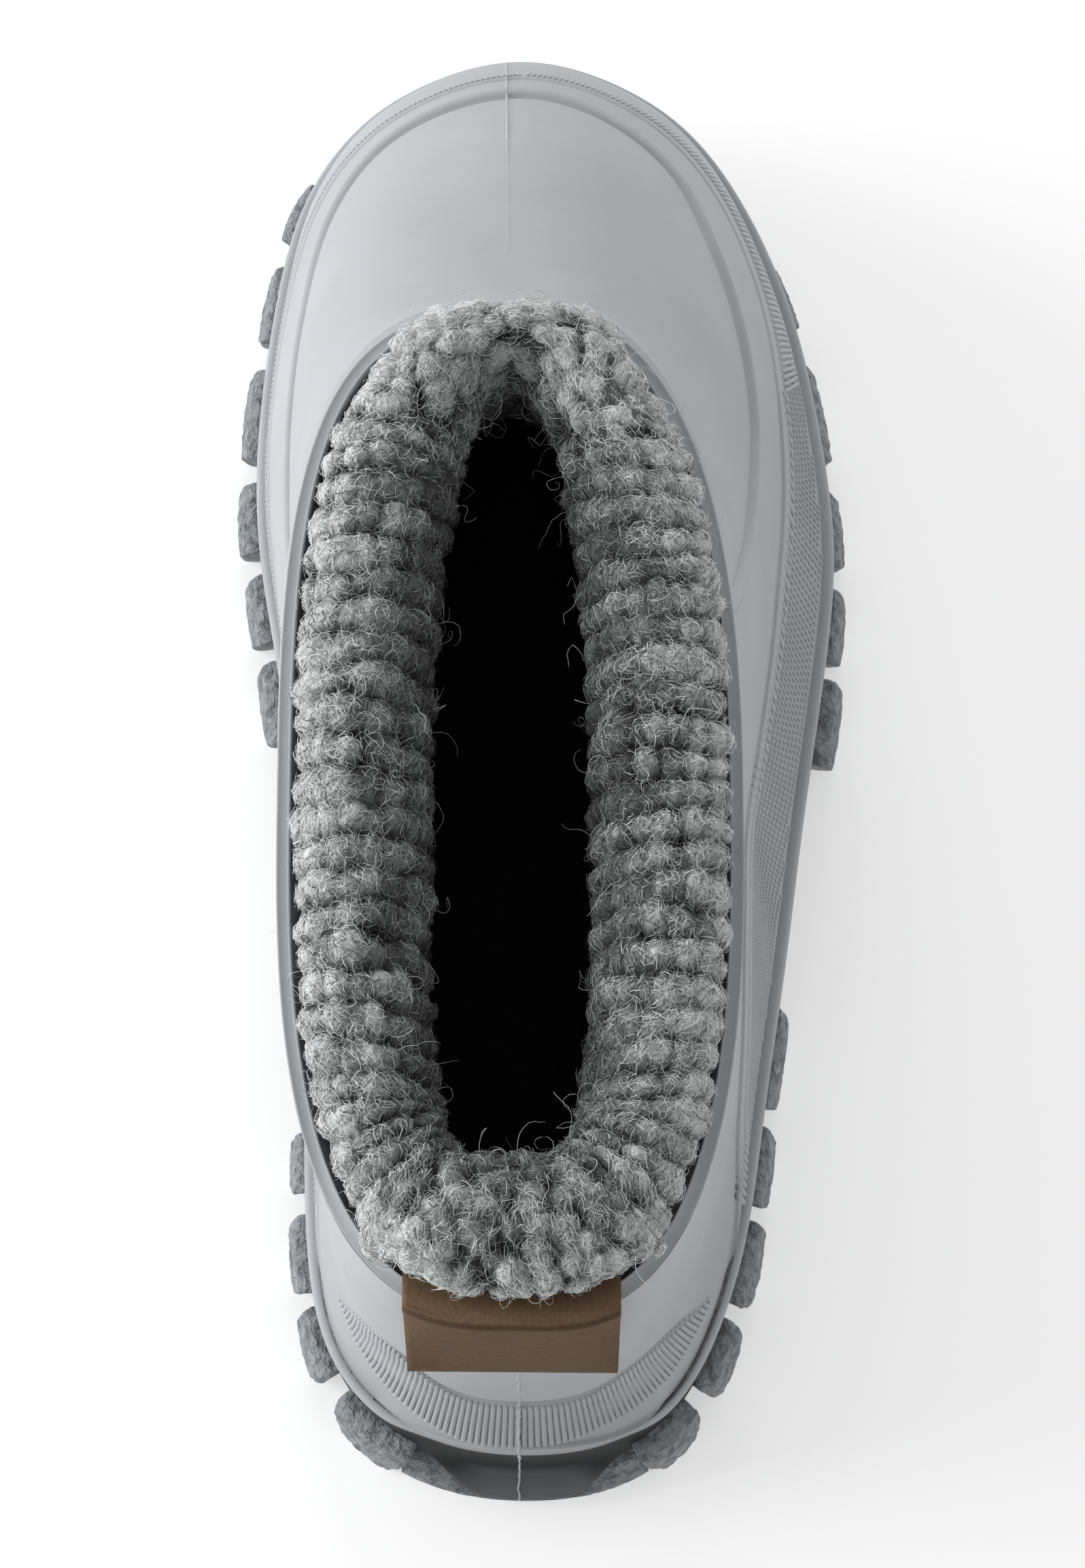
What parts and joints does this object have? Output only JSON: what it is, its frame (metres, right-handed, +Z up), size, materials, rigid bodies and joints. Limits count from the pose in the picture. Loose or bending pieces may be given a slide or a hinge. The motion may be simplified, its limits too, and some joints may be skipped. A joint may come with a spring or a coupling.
{
  "type": "lined rubber boot",
  "caption": "Child's ankle-high moulded rubber boot with a knitted lining rolled at the collar, a lugged sole and a plain tab at the heel.",
  "frame": {"origin": "middle of the footprint, on the floor under the sole", "axes": "+Y toward the toe, +X toward the outer (lateral) side of this right boot, +Z up"},
  "size_m": [0.0824, 0.195, 0.0976],
  "materials": {
    "dark_rubber": "matte, rough grain",
    "foxing_rubber": "satin",
    "pale_rubber": "satin",
    "knit": "woolly ribbed knit",
    "board": "felt",
    "tan": "matte"
  },
  "bodies": {
    "root": {"outsole": "dark_rubber", "midsole": "foxing_rubber", "upper": "pale_rubber", "liner": "knit", "insole": "board", "heel_label": "tan"}
  },
  "joints": []
}
